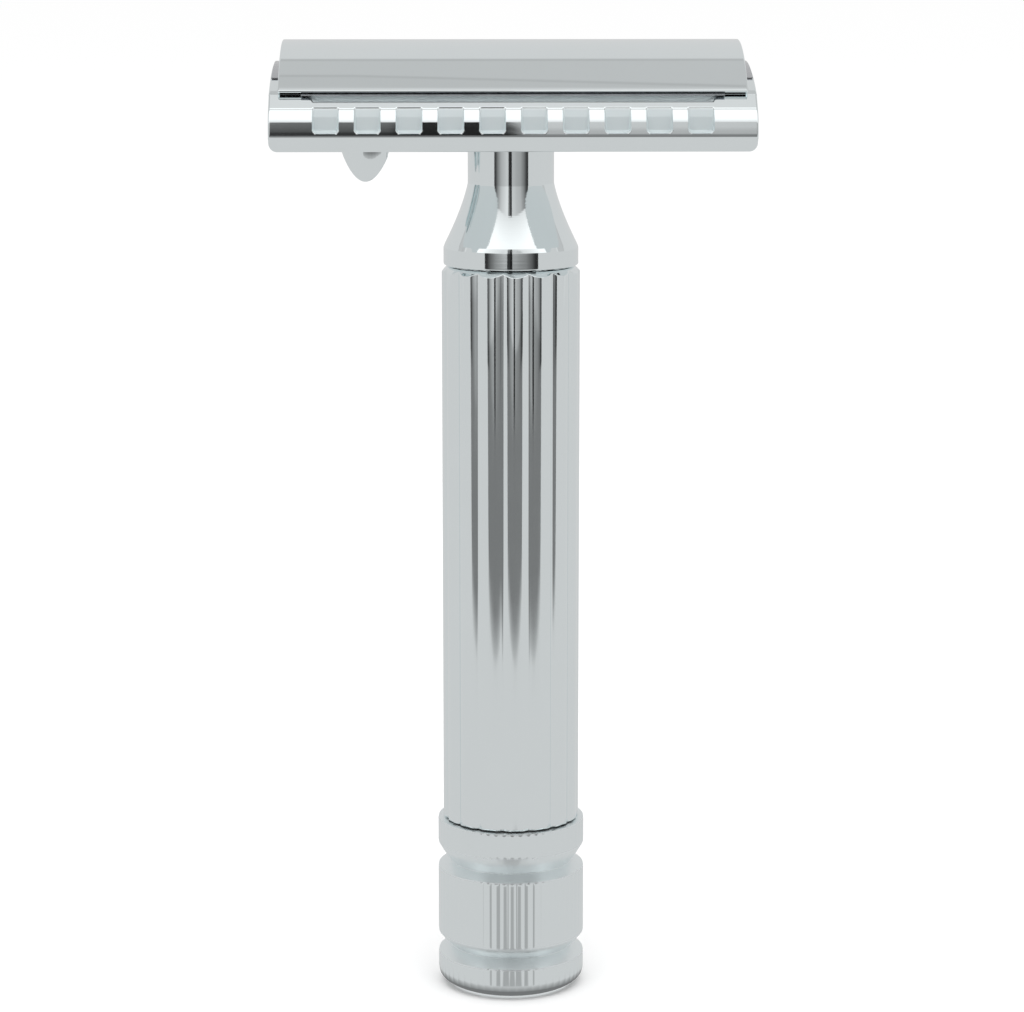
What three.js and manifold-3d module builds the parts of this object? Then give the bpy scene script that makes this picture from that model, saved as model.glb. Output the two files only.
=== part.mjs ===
// Two-piece double-edge safety razor. Millimetres, +Z up, origin under the centre of the knob.
// X runs along the blade, and the two guards face -Y and +Y.
import * as THREE from "three";
import { mergeVertices } from "three/addons/utils/BufferGeometryUtils.js";
import Module from "manifold-3d";

const wasm = await Module();
wasm.setup();

// ---- driving dimensions -------------------------------------------------------------------

const TOTAL_HEIGHT = 89.2;

// The cap is an arched bar. Its underside clamps the blade and sets the arch of the whole head.
const CAP = { length: 41.4, halfWidth: 10.7, lipTop: 85.25, lipBottom: 85, lipInset: 0.25, under: 87.3 };
const LUG = { x: 12.4, outer: 3.1, inner: 1.9, reach: 116, tipX: 13.27, tip: 76.45, half: 2.25, taper: 2.75 };
const STUD = { radius: 1.95, top: 88.2, tip: 77.6, chamfer: 0.5, gap: 0.15 }; // M4 x 0.7
const BLADE = { length: 42.8, width: 22, thickness: 0.1, gap: 0.05, edgeLength: 37.3, tabHalf: 7.3 };
const BLADE_HOLES = { lug: 3.5, stud: 2.4, slotHalf: 1.2 };

// The base plate carries a convex guard along each side, with a scalloped channel behind it.
const PLATE = { length: 43, bottom: 79.9, crease: 81.35, halfWidth: 12.45, lipInset: 0.5, corner: 0.8 };
const GUARD = { radius: 2.7, creaseAngle: -10, topAngle: 50.4 };
const CHANNEL = { wall: 10.2, shelf: 10.95, floor: 84.3, floorHalf: 16.85, lean: 0.93 };
const TOOTH = { foot: 11.4, top: 83.9 };
const NOTCH = { count: 10, pitch: 3.66, width: 2.2, corner: 0.35, crease: 83.2, foot: 81.6 };
const NOTCH_DEPTHS = { crease: 11.75, foot: 11.9, sill: 12.1 };

// The handle: neck, reeded barrel and the bushes inside them.
const NECK = { radius: 3.95, bore: 3.1, spigot: 3.65, top: 84.2, tail: 60, tailRadius: 4.15 };
const FLARE = { top: 76.2, bottom: 70.7, radius: 6.05, pullRadius: 4.4, pullHeight: 74, steps: 8 };
const SHOULDER = { radius: 6.2, top: 70.3, bottom: 68.75 };
const BARREL = { radius: 6.38, bore: 4.3, top: 68.6, bottom: 16.4, chamfer: 0.5 };
const REED = { count: 16, radius: 1.8, steps: 6, turn: 3.2 };
const UPPER_BUSH = { outer: 3, low: 60.2, high: 65 };
const LOWER_BUSH = { outer: 4.15, low: 17, high: 22 };

// The drive: the knob turns the rod, and the rod turns the socket that pulls the stud down.
const KNOB = { radius: 6.88, top: 16.2, topRound: 0.6, foot: 4.5, footHeight: 1.45 };
const KNOB_BORE = { radius: 2.55, end: 5.6 };
const FLUTE = { count: 56, root: 6.75, outside: 7.2 };
const GROOVE_RADIUS = 5.7;
const GROOVES = [
  { low: 3.1, root: 3.85, high: 5.05 },
  { low: 11.5, root: 12.1, high: 13.8 },
];
const SEAL = { radius: 3.2, section: 0.45, height: 15.65, seatOuter: 3.8, seatFloor: 15.1 };
const ROD = { radius: 2.4, bottom: 6, top: 71.8, spigot: 1.45, spigotTop: 74.2 };
const SOCKET = { outer: 2.95, bottom: 72, top: 84, bore: 2.15, boreEnd: 75.5 };
const ROD_SEAT = { radius: 1.6, end: 74.5 };
const PIN = { radius: 0.5, half: 2.75, height: 73.2, gap: 0.1 };
const RUNNING_BORE = 2.55;
const WASHER = { inner: 2.6, outer: 4, low: 22.15, high: 22.65 };
const SPRING = { inner: 2.65, outer: 4, rimLow: 22.8, rise: 0.5, thickness: 0.25 };
const CLIP = { inner: 2.05, outer: 3.6, low: 23.7, high: 24.2, halfReach: 150 };
const CLIP_SEAT = { radius: 1.95, gap: 0.1 };

const ROUND = 40; // sides of the larger turned pieces
const SMALL_ROUND = 28; // sides of the small inner pieces
const FIT = 0.3; // clearance of the lugs in the plate
const SEAT = 0.1; // clearance of a spigot in its bore

// ---- helpers ------------------------------------------------------------------------------

const radians = THREE.MathUtils.degToRad;
const degrees = THREE.MathUtils.radToDeg;
const point = (x, y) => new THREE.Vector2(x, y);

// Points along an arc, from angle a0 to a1 in degrees, both ends included.
function arc(cx, cy, r, a0, a1, steps) {
  return Array.from({ length: steps + 1 }, (_, i) => {
    const a = radians(a0 + ((a1 - a0) * i) / steps);
    return point(cx + r * Math.cos(a), cy + r * Math.sin(a));
  });
}

// A closed three.js geometry as a solid that can be joined and cut.
function solid(geometry) {
  const bare = geometry.clone();
  bare.deleteAttribute("normal");
  bare.deleteAttribute("uv");
  const merged = mergeVertices(bare, 1e-4);
  const mesh = new wasm.Mesh({
    numProp: 3,
    vertProperties: merged.attributes.position.array,
    triVerts: new Uint32Array(merged.index.array),
  });
  return new wasm.Manifold(mesh);
}

// A solid back as a three.js geometry with flat facets.
function geometryOf(shape) {
  const mesh = shape.getMesh();
  const geometry = new THREE.BufferGeometry();
  geometry.setAttribute("position", new THREE.BufferAttribute(mesh.vertProperties, 3));
  geometry.setIndex(new THREE.BufferAttribute(mesh.triVerts, 1));
  const flat = geometry.toNonIndexed();
  flat.computeVertexNormals();
  return flat;
}

// A profile of [radius, height] pairs turned about Z.
function turned(profile, sides = ROUND) {
  const points = profile.map(([r, h]) => point(r, h));
  return new THREE.LatheGeometry(points, sides).rotateX(Math.PI / 2);
}

// A ring of rectangular section about Z.
function ring(inner, outer, low, high, sides = SMALL_ROUND) {
  return turned([[inner, low], [outer, low], [outer, high], [inner, high], [inner, low]], sides);
}

// A solid cylinder about Z.
function rod(radius, low, high, sides = SMALL_ROUND) {
  return turned([[0, low], [radius, low], [radius, high], [0, high]], sides);
}

function extruded(outline, depth) {
  return new THREE.ExtrudeGeometry(new THREE.Shape(outline), { depth, bevelEnabled: false });
}

// An outline in the X-Y plane, raised from low to high.
function raised(outline, low, high) {
  return extruded(outline, high - low).translate(0, 0, low);
}

// A section in the Y-Z plane, run along X to the same distance each way.
function alongX(section, half) {
  const turn = new THREE.Matrix4().makeBasis(
    new THREE.Vector3(0, 1, 0),
    new THREE.Vector3(0, 0, 1),
    new THREE.Vector3(1, 0, 0),
  );
  return extruded(section, 2 * half).applyMatrix4(turn).translate(-half, 0, 0);
}

// An outline in the X-Z plane, run along Y from y0 to y1.
function alongY(outline, y0, y1) {
  return extruded(outline, y1 - y0).rotateX(Math.PI / 2).translate(0, y1, 0);
}

// A solid with its copy turned half round about Z.
function bothSides(shape) {
  return shape.add(shape.rotate([0, 0, 180]));
}

// The circle in the Y-Z plane that has its crest on the axis and passes through (y, z).
function archThrough(crest, y, z) {
  const drop = crest - z;
  const radius = (y * y + drop * drop) / (2 * drop);
  return { radius, centre: crest - radius };
}

// Points over an arch from +y to -y.
function archPoints(arch, y, steps) {
  const edge = degrees(Math.acos(y / arch.radius));
  return arc(0, arch.centre, arch.radius, edge, 180 - edge, steps);
}

// ---- materials ----------------------------------------------------------------------------

function metal(color, roughness) {
  return new THREE.MeshStandardMaterial({ color, roughness, metalness: 1 });
}

const chrome = () => metal(0xdfe3e5, 0.08);
const steel = () => metal(0xb9bdc1, 0.25);
const brass = () => metal(0xc9a552, 0.3);
const rubber = () => new THREE.MeshStandardMaterial({ color: 0x1c1c1e, roughness: 0.7, metalness: 0 });

// ---- head ---------------------------------------------------------------------------------

const CLAMP = archThrough(CAP.under, CAP.halfWidth - CAP.lipInset, CAP.lipBottom);
const BLADE_TOP = { centre: CLAMP.centre, radius: CLAMP.radius - BLADE.gap };
const BLADE_UNDER = { centre: CLAMP.centre, radius: BLADE_TOP.radius - BLADE.thickness };
const HUMP = { centre: CLAMP.centre, radius: BLADE_UNDER.radius - BLADE.gap };

// The plan of one lug, a C open towards the stud, grown all round by a clearance.
function lugPlan(grow) {
  const reach = LUG.reach + degrees(grow / LUG.outer);
  const outside = arc(LUG.x, 0, LUG.outer + grow, -reach, reach, 16);
  const inside = arc(LUG.x, 0, LUG.inner - grow, reach, -reach, 12);
  return [...outside, ...inside];
}

// One lug: the C plan, tapered to a rounded tip by a parabola in the X-Z plane.
function lug() {
  const steps = 8;
  const taper = Array.from({ length: 2 * steps + 1 }, (_, i) => {
    const t = i / steps - 1;
    return point(LUG.tipX + LUG.half * t, LUG.tip + LUG.taper * t * t);
  });
  const wide = LUG.half + 0.5;
  const root = LUG.tip + LUG.taper + 0.4;
  const outline = [
    ...taper,
    point(LUG.tipX + wide, root),
    point(LUG.tipX + wide, TOTAL_HEIGHT),
    point(LUG.tipX - wide, TOTAL_HEIGHT),
    point(LUG.tipX - wide, root),
  ];
  const plan = solid(raised(lugPlan(0), LUG.tip - 1, CAP.under + 0.3));
  return plan.intersect(solid(alongY(outline, -LUG.outer - 1, LUG.outer + 1)));
}

// The cap: an arched bar with two lugs and a blind hole for the stud.
function cap() {
  const crown = archThrough(TOTAL_HEIGHT, CAP.halfWidth, CAP.lipTop);
  const outside = archPoints(crown, CAP.halfWidth, 24);
  const inside = archPoints(CLAMP, CAP.halfWidth - CAP.lipInset, 18).reverse();
  const bar = solid(alongX([...outside, ...inside], CAP.length / 2));
  const hole = solid(rod(STUD.radius + STUD.gap, CAP.under - 1, STUD.top + STUD.gap));
  return geometryOf(bar.add(bothSides(lug())).subtract(hole));
}

// The threaded stud that the drive pulls down, with a lead-in chamfer at its tip.
function capStud() {
  const tip = STUD.radius - STUD.chamfer;
  const side = STUD.radius;
  const profile = [
    [0, STUD.tip],
    [tip, STUD.tip],
    [side, STUD.tip + STUD.chamfer],
    [side, STUD.top],
    [0, STUD.top],
  ];
  return turned(profile, SMALL_ROUND);
}

// The blade, bent over the hump: a thin arch with square corners cut out and the usual three-part slot.
function blade() {
  const halfAngle = degrees(BLADE.width / 2 / BLADE_UNDER.radius);
  const top = arc(0, BLADE_TOP.centre, BLADE_TOP.radius, 90 - halfAngle, 90 + halfAngle, 18);
  const under = arc(0, BLADE_UNDER.centre, BLADE_UNDER.radius, 90 + halfAngle, 90 - halfAngle, 18);
  const sheet = solid(alongX([...top, ...under], BLADE.length / 2));
  const low = PLATE.crease;
  const lugHole = solid(rod(BLADE_HOLES.lug, low, TOTAL_HEIGHT, 24).translate(LUG.x, 0, 0));
  const studHole = solid(rod(BLADE_HOLES.stud, low, TOTAL_HEIGHT, 24));
  const slotBox = new THREE.BoxGeometry(2 * LUG.x, 2 * BLADE_HOLES.slotHalf, 20);
  const slot = solid(slotBox.translate(0, 0, CAP.under));
  const cornerLength = BLADE.length - BLADE.edgeLength;
  const cornerX = (BLADE.edgeLength + cornerLength) / 2;
  const corners = [-1, 1].map((side) => {
    const box = new THREE.BoxGeometry(cornerLength, BLADE.width, 20);
    return solid(box.translate(side * cornerX, BLADE.tabHalf + BLADE.width / 2, CAP.under));
  });
  const cornerPair = bothSides(corners[0].add(corners[1]));
  return geometryOf(sheet.subtract(bothSides(lugHole).add(studHole).add(slot)).subtract(cornerPair));
}

// One guard's channel: a shelf behind the teeth, with end walls that lean outwards.
function channel() {
  const { wall, shelf, floor } = CHANNEL;
  const above = TOTAL_HEIGHT;
  const beyond = PLATE.halfWidth + 1;
  const section = [
    point(wall, floor),
    point(shelf, floor),
    point(TOOTH.foot, TOOTH.top),
    point(beyond, TOOTH.top),
    point(beyond, above),
    point(wall, above),
  ];
  const half = (height) => CHANNEL.floorHalf + (height - floor) * CHANNEL.lean;
  const outline = [
    point(-half(TOOTH.top), TOOTH.top),
    point(half(TOOTH.top), TOOTH.top),
    point(half(above), above),
    point(-half(above), above),
  ];
  return solid(alongX(section, PLATE.length)).intersect(solid(alongY(outline, 0, beyond)));
}

// One notch of the scalloped guard, with a creased floor and clipped lower corners.
function notch(x) {
  const beyond = PLATE.halfWidth + 1;
  const section = [
    point(NOTCH_DEPTHS.sill, NOTCH.foot),
    point(beyond, NOTCH.foot),
    point(beyond, TOOTH.top),
    point(TOOTH.foot, TOOTH.top),
    point(NOTCH_DEPTHS.crease, NOTCH.crease),
    point(NOTCH_DEPTHS.foot, NOTCH.foot + NOTCH_DEPTHS.sill - NOTCH_DEPTHS.foot),
  ];
  const half = NOTCH.width / 2;
  const outline = [
    point(x - half + NOTCH.corner, NOTCH.foot),
    point(x + half - NOTCH.corner, NOTCH.foot),
    point(x + half, NOTCH.foot + NOTCH.corner),
    point(x + half, TOTAL_HEIGHT),
    point(x - half, TOTAL_HEIGHT),
    point(x - half, NOTCH.foot + NOTCH.corner),
  ];
  return solid(alongX(section, PLATE.length)).intersect(solid(alongY(outline, 0, beyond)));
}

// The base plate: the hump under the blade, the two guards, and holes for the lugs, the stud and the neck.
function basePlate() {
  const guardY = PLATE.halfWidth - GUARD.radius;
  const guardZ = PLATE.crease - GUARD.radius * Math.sin(radians(GUARD.creaseAngle));
  const guard = arc(guardY, guardZ, GUARD.radius, GUARD.creaseAngle, GUARD.topAngle, 9);
  const foot = point(guard[0].x - PLATE.lipInset, PLATE.bottom);
  const right = [foot, ...guard];
  const left = right.map((p) => point(-p.x, p.y)).reverse();
  const hump = archPoints(HUMP, CAP.halfWidth - CAP.lipInset, 16);
  const bar = solid(alongX([...right, ...hump, ...left], PLATE.length / 2));

  const end = PLATE.length / 2;
  const r = PLATE.corner;
  const frontView = [
    ...arc(end - r, PLATE.bottom + r, r, -90, 0, 4),
    point(end, TOTAL_HEIGHT),
    point(-end, TOTAL_HEIGHT),
    ...arc(-end + r, PLATE.bottom + r, r, 180, 270, 4),
  ];
  let plate = bar.intersect(solid(alongY(frontView, -PLATE.halfWidth - 1, PLATE.halfWidth + 1)));

  plate = plate.subtract(bothSides(channel()));
  for (let i = 0; i < NOTCH.count; i += 1) {
    const x = (i - (NOTCH.count - 1) / 2) * NOTCH.pitch;
    plate = plate.subtract(bothSides(notch(x)));
  }
  const lugSlots = bothSides(solid(raised(lugPlan(FIT), PLATE.bottom - 1, TOTAL_HEIGHT)));
  const studHole = solid(rod(BLADE_HOLES.stud, PLATE.bottom - 1, TOTAL_HEIGHT));
  const neckHole = solid(rod(NECK.spigot + SEAT, PLATE.bottom - 1, NECK.top + SEAT));
  return geometryOf(plate.subtract(lugSlots).subtract(studHole.add(neckHole)));
}

// ---- handle -------------------------------------------------------------------------------

// The neck: a spigot in the plate, a straight stem, a flare, a shoulder and a tail in the barrel.
function neck() {
  const flare = new THREE.QuadraticBezierCurve(
    point(FLARE.radius, FLARE.bottom),
    point(FLARE.pullRadius, FLARE.pullHeight),
    point(NECK.radius, FLARE.top),
  );
  const stemTop = PLATE.bottom - SEAT;
  const profile = [
    [NECK.bore, NECK.tail],
    [NECK.tailRadius, NECK.tail],
    [NECK.tailRadius, SHOULDER.bottom],
    [SHOULDER.radius, SHOULDER.bottom],
    [SHOULDER.radius, SHOULDER.top],
    ...flare.getPoints(FLARE.steps).map((p) => [p.x, p.y]),
    [NECK.radius, stemTop],
    [NECK.spigot, stemTop],
    [NECK.spigot, NECK.top],
    [NECK.bore, NECK.top],
    [NECK.bore, NECK.tail],
  ];
  return turned(profile);
}

// The barrel: a tube with convex reeds all round and a chamfer at its top edge.
function barrel() {
  const ringRadius = BARREL.radius - REED.radius;
  const reedTurn = 360 / REED.count;
  const steps = REED.count * REED.steps;
  const outline = Array.from({ length: steps }, (_, i) => {
    const share = (i % REED.steps) / REED.steps - 0.5;
    const across = radians(share * reedTurn);
    const offset = ringRadius * Math.sin(across);
    const r = ringRadius * Math.cos(across) + Math.sqrt(REED.radius ** 2 - offset ** 2);
    const around = radians(REED.turn - 90 + (Math.floor(i / REED.steps) + share) * reedTurn);
    return point(r * Math.cos(around), r * Math.sin(around));
  });
  const reeded = solid(raised(outline, BARREL.bottom, BARREL.top));
  const reach = 1;
  const edge = [
    [BARREL.bore, BARREL.bottom - 1],
    [BARREL.radius + reach, BARREL.bottom - 1],
    [BARREL.radius + reach, BARREL.top - BARREL.chamfer - reach],
    [BARREL.radius - BARREL.chamfer, BARREL.top],
    [BARREL.bore, BARREL.top],
    [BARREL.bore, BARREL.bottom - 1],
  ];
  return geometryOf(reeded.intersect(solid(turned(edge))));
}

// ---- drive --------------------------------------------------------------------------------

// The knob: straight fluting all round, cut by two V grooves and rounded ends.
function knob() {
  const flutes = Array.from({ length: 2 * FLUTE.count }, (_, i) => {
    const a = (Math.PI * i) / FLUTE.count;
    const r = i % 2 ? FLUTE.root : KNOB.radius;
    return point(r * Math.sin(a), -r * Math.cos(a));
  });
  const overhang = (FLUTE.outside - KNOB.radius) / (KNOB.radius - GROOVE_RADIUS);
  const rim = (height, root) => [FLUTE.outside, height + (height - root) * overhang];
  const grooves = GROOVES.flatMap(({ low, root, high }) => [
    rim(low, root),
    [GROOVE_RADIUS, root],
    rim(high, root),
  ]);
  const footRound = arc(KNOB.foot, KNOB.footHeight, KNOB.footHeight, -90, -20, 4).map((p) => {
    const stretch = (KNOB.radius - KNOB.foot) / KNOB.footHeight;
    return [KNOB.foot + (p.x - KNOB.foot) * stretch, p.y];
  });
  const topRound = arc(KNOB.radius - KNOB.topRound, KNOB.top - KNOB.topRound, KNOB.topRound, 20, 90, 3);
  const profile = [
    [0, 0],
    ...footRound,
    [FLUTE.outside, KNOB.footHeight],
    ...grooves,
    [FLUTE.outside, KNOB.top - KNOB.topRound],
    ...topRound.map((p) => [p.x, p.y]),
    [SEAL.seatOuter, KNOB.top],
    [SEAL.seatOuter, SEAL.seatFloor],
    [KNOB_BORE.radius, SEAL.seatFloor],
    [KNOB_BORE.radius, KNOB_BORE.end],
    [0, KNOB_BORE.end],
  ];
  const fluted = solid(raised(flutes, -1, KNOB.top + 1));
  return geometryOf(fluted.intersect(solid(turned(profile, FLUTE.count))));
}

// A cross hole along X through the axis at the pin's height.
function pinHole() {
  const hole = rod(PIN.radius + PIN.gap, -SOCKET.outer - 1, SOCKET.outer + 1, 16);
  return solid(hole.rotateY(Math.PI / 2).translate(0, 0, PIN.height));
}

// The drive rod, with a groove for the retaining clip and a spigot for the socket.
function driveRod() {
  const profile = [
    [0, ROD.bottom],
    [ROD.radius, ROD.bottom],
    [ROD.radius, CLIP.low - CLIP_SEAT.gap],
    [CLIP_SEAT.radius, CLIP.low - CLIP_SEAT.gap],
    [CLIP_SEAT.radius, CLIP.high + CLIP_SEAT.gap],
    [ROD.radius, CLIP.high + CLIP_SEAT.gap],
    [ROD.radius, ROD.top],
    [ROD.spigot, ROD.top],
    [ROD.spigot, ROD.spigotTop],
    [0, ROD.spigotTop],
  ];
  return geometryOf(solid(turned(profile, SMALL_ROUND)).subtract(pinHole()));
}

// The socket: threaded bore above for the stud, plain bore below for the rod.
function socket() {
  const profile = [
    [0, ROD_SEAT.end],
    [ROD_SEAT.radius, ROD_SEAT.end],
    [ROD_SEAT.radius, SOCKET.bottom],
    [SOCKET.outer, SOCKET.bottom],
    [SOCKET.outer, SOCKET.top],
    [SOCKET.bore, SOCKET.top],
    [SOCKET.bore, SOCKET.boreEnd],
    [0, SOCKET.boreEnd],
  ];
  return geometryOf(solid(turned(profile, SMALL_ROUND)).subtract(pinHole()));
}

function socketPin() {
  return rod(PIN.radius, -PIN.half, PIN.half, 12).rotateY(Math.PI / 2).translate(0, 0, PIN.height);
}

// A dished washer that keeps a light drag on the knob.
function springWasher() {
  const { inner, outer, rimLow, rise, thickness } = SPRING;
  const profile = [
    [inner, rimLow + rise],
    [outer, rimLow],
    [outer, rimLow + thickness],
    [inner, rimLow + rise + thickness],
    [inner, rimLow + rise],
  ];
  return turned(profile, SMALL_ROUND);
}

// An open clip that sits in the rod's groove.
function retainingClip() {
  const outside = arc(0, 0, CLIP.outer, -CLIP.halfReach, CLIP.halfReach, 20);
  const inside = arc(0, 0, CLIP.inner, CLIP.halfReach, -CLIP.halfReach, 20);
  return raised([...outside, ...inside], CLIP.low, CLIP.high);
}

function sealRing() {
  return new THREE.TorusGeometry(SEAL.radius, SEAL.section, 10, SMALL_ROUND).translate(0, 0, SEAL.height);
}

// ---- assembly -----------------------------------------------------------------------------

function assembly(pieces) {
  const group = new THREE.Group();
  for (const [name, geometry, material] of pieces) {
    const mesh = new THREE.Mesh(geometry, material);
    mesh.name = name;
    group.add(mesh);
  }
  return group;
}

const handle = assembly([
  ["base_plate", basePlate(), chrome()],
  ["neck", neck(), chrome()],
  ["barrel", barrel(), chrome()],
  ["upper_bush", ring(RUNNING_BORE, UPPER_BUSH.outer, UPPER_BUSH.low, UPPER_BUSH.high), brass()],
  ["lower_bush", ring(RUNNING_BORE, LOWER_BUSH.outer, LOWER_BUSH.low, LOWER_BUSH.high), brass()],
  ["thrust_washer", ring(WASHER.inner, WASHER.outer, WASHER.low, WASHER.high), steel()],
]);

const drive = assembly([
  ["knob", knob(), chrome()],
  ["drive_rod", driveRod(), steel()],
  ["threaded_socket", socket(), brass()],
  ["socket_pin", socketPin(), steel()],
  ["spring_washer", springWasher(), steel()],
  ["retaining_clip", retainingClip(), steel()],
  ["seal_ring", sealRing(), rubber()],
]);

const head = assembly([
  ["cap", cap(), chrome()],
  ["cap_stud", capStud(), steel()],
  ["blade", blade(), steel()],
]);

const razor = new THREE.Group();
razor.add(handle, drive, head);

export default razor;
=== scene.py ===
"""Looks of a two-piece double-edge safety razor: chrome head and handle, ground steel and brass inside."""

import math

import bmesh
import bpy
import numpy as np
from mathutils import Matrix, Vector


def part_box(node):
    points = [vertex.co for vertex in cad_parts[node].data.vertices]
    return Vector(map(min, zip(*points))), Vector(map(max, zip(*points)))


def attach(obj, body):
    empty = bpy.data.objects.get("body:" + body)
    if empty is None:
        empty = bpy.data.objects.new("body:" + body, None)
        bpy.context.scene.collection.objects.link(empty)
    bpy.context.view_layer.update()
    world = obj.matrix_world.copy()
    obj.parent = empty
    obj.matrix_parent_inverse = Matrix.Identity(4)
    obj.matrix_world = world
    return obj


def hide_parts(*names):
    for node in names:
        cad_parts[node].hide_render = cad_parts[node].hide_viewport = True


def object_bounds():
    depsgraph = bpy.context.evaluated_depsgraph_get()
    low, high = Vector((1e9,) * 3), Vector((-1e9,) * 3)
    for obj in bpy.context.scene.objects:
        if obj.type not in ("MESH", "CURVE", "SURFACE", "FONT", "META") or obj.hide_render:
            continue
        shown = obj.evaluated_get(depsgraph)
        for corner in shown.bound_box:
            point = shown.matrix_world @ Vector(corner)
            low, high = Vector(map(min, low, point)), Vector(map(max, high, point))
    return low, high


bl_info = {
    "name": "Safety Razor Maker",
    "version": (1, 0, 0),
    "blender": (4, 5, 0),
    "location": "View3D > Sidebar > Razor",
    "description": "Builds the polished pieces of a double-edge safety razor and a plain studio stage",
    "category": "Object",
}

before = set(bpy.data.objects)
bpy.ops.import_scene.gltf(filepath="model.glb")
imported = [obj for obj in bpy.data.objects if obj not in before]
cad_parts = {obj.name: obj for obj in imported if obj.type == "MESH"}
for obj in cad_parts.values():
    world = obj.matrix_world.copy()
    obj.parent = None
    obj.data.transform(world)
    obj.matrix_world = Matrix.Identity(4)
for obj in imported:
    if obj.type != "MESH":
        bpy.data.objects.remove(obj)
CAD_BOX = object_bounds()
MM = 0.001
TOP = CAD_BOX[1].z / MM
HALF_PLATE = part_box("base_plate")[1].x / MM
HALF_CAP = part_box("cap")[1].x / MM
BARREL_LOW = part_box("barrel")[0].z / MM
BARREL_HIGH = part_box("barrel")[1].z / MM
BARREL_RADIUS = 6.38
KNOB_RADIUS = 6.88
KNOB_SIDE = 6.95
KNOB_GROOVES = ((3.14, 3.85, 5.05), (11.56, 12.1, 13.8))


# ---- shapes as arrays ---------------------------------------------------------------------


def grid_faces(rows, columns, wrap_rows=False, wrap_columns=False):
    """Quads of a grid of points numbered row by row; a wrapped direction joins its last line to its first."""
    i = np.arange(rows if wrap_rows else rows - 1)[:, None]
    j = np.arange(columns if wrap_columns else columns - 1)[None, :]
    below, beside = (i + 1) % rows, (j + 1) % columns
    corners = (i * columns + j, i * columns + beside, below * columns + beside, below * columns + j)
    return np.stack(corners, -1).reshape(-1, 4)


def soft_min(a, b, blend):
    """The lesser of two lengths, with the crease between them rounded: half of their sum less the root of
    their difference squared plus the blend squared."""
    return 0.5 * (a + b - np.sqrt((a - b) ** 2 + blend**2))


def soft_max(a, b, blend):
    """The greater of two lengths, rounded in the same way."""
    return 0.5 * (a + b + np.sqrt((a - b) ** 2 + blend**2))


def smooth_step(t):
    """Three t squared less two t cubed, held at 0 and 1 outside that range."""
    t = np.clip(t, 0.0, 1.0)
    return t * t * (3.0 - 2.0 * t)


def rounded(corners, radii, steps=6, closed=True, guard=0.02):
    """A path with rounded corners. Each corner becomes an arc that touches both of its sides, its centre on
    the bisector at the radius over the sine of half the corner's angle, with one more point on each side
    just outside the arc so that the flats stay flat."""
    p = np.asarray(corners, float)
    to_last = np.roll(p, 1, 0) - p
    to_next = np.roll(p, -1, 0) - p
    length_last = np.linalg.norm(to_last, axis=1, keepdims=True)
    length_next = np.linalg.norm(to_next, axis=1, keepdims=True)
    a, b = to_last / length_last, to_next / length_next
    half = np.arccos(np.clip((a * b).sum(1), -1.0, 1.0)) / 2
    room = 0.42 * np.minimum(length_last, length_next)[:, 0]
    reach = np.minimum(np.asarray(radii, float) / np.tan(half), room)
    r = reach * np.tan(half)
    middle = (a + b) / np.maximum(np.linalg.norm(a + b, axis=1, keepdims=True), 1e-9)
    centre = p + middle * (r / np.sin(half))[:, None]
    start = p + a * reach[:, None]
    end = p + b * reach[:, None]
    sweep = np.maximum(np.pi - 2 * half, 1e-3)[:, None]
    t = np.linspace(0, 1, steps + 1)[None, :]
    share_a = (np.sin((1 - t) * sweep) / np.sin(sweep))[..., None]
    share_b = (np.sin(t * sweep) / np.sin(sweep))[..., None]
    arc = centre[:, None] + share_a * (start - centre)[:, None] + share_b * (end - centre)[:, None]
    before = start + a * np.minimum(guard, 0.2 * length_last)
    after = end + b * np.minimum(guard, 0.2 * length_next)
    path = np.concatenate([before[:, None], arc, after[:, None]], 1)
    if closed:
        return path.reshape(-1, 2)
    return np.concatenate([p[:1], path[1:-1].reshape(-1, 2), p[-1:]])


def finer(path, longest, closed=True):
    """The same path with its long sides cut into equal lengths no longer than the one given."""
    p = np.concatenate([path, path[:1]]) if closed else path
    side = np.linalg.norm(np.diff(p, axis=0), axis=1)
    parts = np.maximum(np.ceil(side / longest).astype(int), 1)
    stops = np.concatenate([[0.0], np.cumsum(side)])
    start = np.repeat(stops[:-1], parts)
    order = np.arange(parts.sum()) - np.repeat(np.cumsum(parts) - parts, parts)
    at = start + order * np.repeat(side / parts, parts)
    if not closed:
        at = np.append(at, stops[-1])
    return np.stack([np.interp(at, stops, p[:, 0]), np.interp(at, stops, p[:, 1])], -1)


def turned(profile, sides, limit=None, blend=0.03, plain=None, share=1.0):
    """A surface of revolution. The point for profile point (r, z) and angle a is (r sin a, -r cos a, z).
    With a limit, a radius for each angle, r is the rounded lesser of the profile's radius and that limit.
    Where the share of the reeds is under 1 the limit is that share of itself and the rest of a plain
    radius."""
    angle = np.arange(sides) * (2 * np.pi / sides)
    radius = np.repeat(profile[:, :1], sides, 1)
    if limit is not None:
        edge = limit(angle)[None, :] * np.ones_like(radius)
        if plain is not None:
            edge = edge * share[:, None] + plain * (1 - share[:, None])
        radius = np.where(radius > 4.6, soft_min(radius, edge, blend), radius)
    height = np.repeat(profile[:, 1:], sides, 1)
    return np.stack([radius * np.sin(angle), -radius * np.cos(angle), height], -1)


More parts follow.
